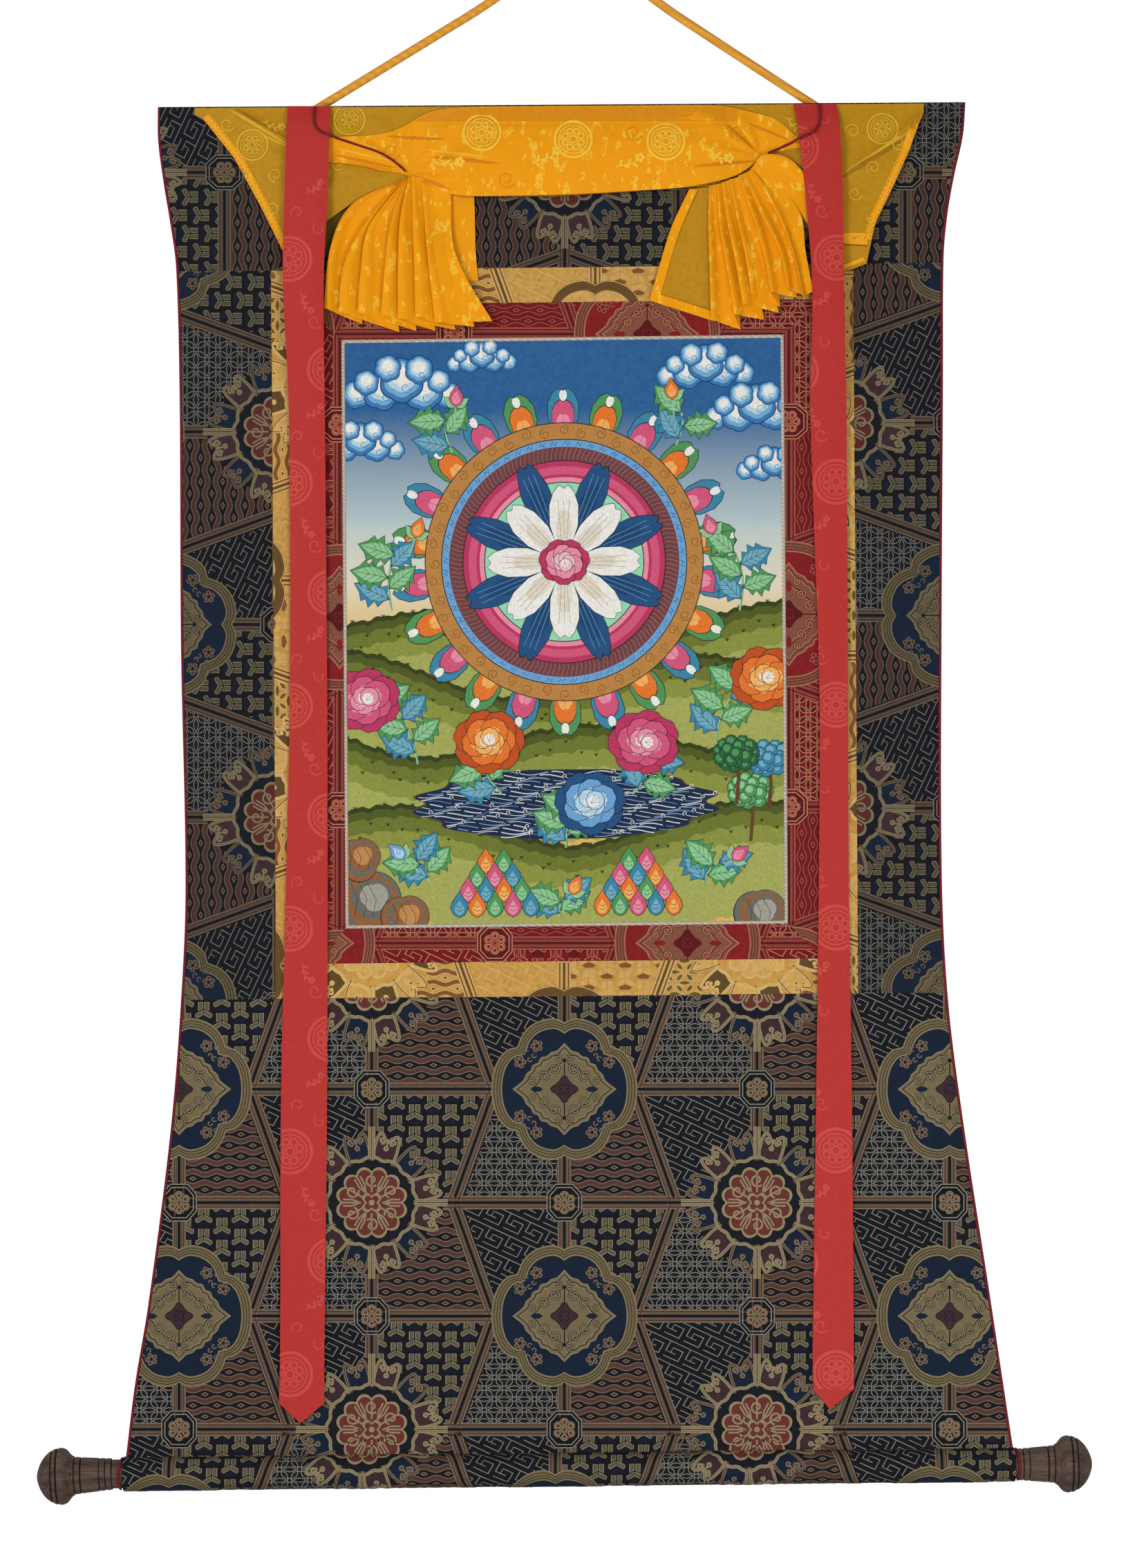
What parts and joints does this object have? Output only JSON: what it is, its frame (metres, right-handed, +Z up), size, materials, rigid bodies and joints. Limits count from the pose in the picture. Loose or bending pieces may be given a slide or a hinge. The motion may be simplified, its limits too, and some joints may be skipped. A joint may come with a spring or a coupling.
{
  "type": "thangka scroll painting with rod, knobs and hanging cord",
  "caption": "Painted cloth panel in red and gold borders on a dark brocade scroll, with a silk veil, two ribbons, a rod with turned knobs and a hanging cord.",
  "frame": {"origin": "where the hanging cord bears on the nail", "axes": "+Z up; the picture faces -Y; +X to the right as one looks at the picture"},
  "size_m": [0.9156, 0.0487, 1.358],
  "materials": {
    "painted_cotton": "matt painted cotton",
    "cream_cord": "matt twisted cord",
    "red_brocade": "silk brocade",
    "gold_brocade": "silk brocade",
    "dark_brocade": "silk brocade",
    "crimson_cord": "twisted cord",
    "orange_silk": "thin damask silk",
    "red_ribbon": "damask silk",
    "orange_cord": "folded silk cord",
    "turned_wood": "oiled turned wood"
  },
  "bodies": {
    "root": {"painting": "painted_cotton", "corded_edge_top": "cream_cord", "corded_edge_left": "cream_cord", "corded_edge_right": "cream_cord", "corded_edge_bottom": "cream_cord", "red_border_top": "red_brocade", "red_border_left": "red_brocade", "red_border_right": "red_brocade", "red_border_bottom": "red_brocade", "gold_border_top": "gold_brocade", "gold_border_left": "gold_brocade", "gold_border_right": "gold_brocade", "gold_border_bottom": "gold_brocade", "top_panel": "dark_brocade", "left_panel": "dark_brocade", "right_panel": "dark_brocade", "bottom_panel": "dark_brocade", "side_cord_left": "crimson_cord", "side_cord_right": "crimson_cord", "rod": "turned_wood", "knob_left": "turned_wood", "knob_right": "turned_wood", "veil": "orange_silk", "ribbon_left": "red_ribbon", "ribbon_right": "red_ribbon", "hanging_cord": "orange_cord", "tie_left": "crimson_cord", "tie_right": "crimson_cord"}
  },
  "joints": []
}
